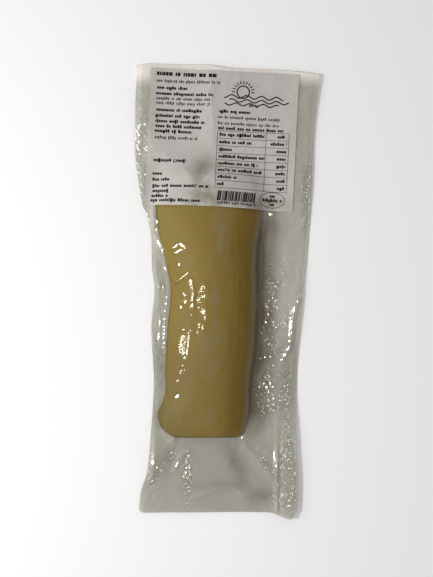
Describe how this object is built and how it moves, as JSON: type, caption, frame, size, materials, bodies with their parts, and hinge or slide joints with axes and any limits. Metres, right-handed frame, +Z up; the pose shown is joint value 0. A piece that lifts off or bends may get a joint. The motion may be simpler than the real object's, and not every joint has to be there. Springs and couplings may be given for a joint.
{
  "type": "vacuum pack of salted dried cod",
  "caption": "Slim clear vacuum pouch drawn tight round one salted dried cod loin, lying flat, with sealed flat edges and a printed paper label across its head.",
  "frame": {"origin": "under the middle of the pack's outline, on the surface that it lies on", "axes": "+Z up, towards the labelled front; +Y along the pouch towards its labelled head; +X to the right when the label is looked at from above"},
  "size_m": [0.1019, 0.2526, 0.0136],
  "materials": {
    "clear_film": "glossy clear laminate film, slightly hazy where its two layers lie together, with an embossed back",
    "label_paper": "matte white label paper",
    "label_ink": "black thermal print",
    "cod_flesh": "dense amber salted fish flesh with a moist sheen"
  },
  "bodies": {
    "root": {"vacuum_pouch": "clear_film", "paper_label": "label_paper"}
  },
  "joints": []
}
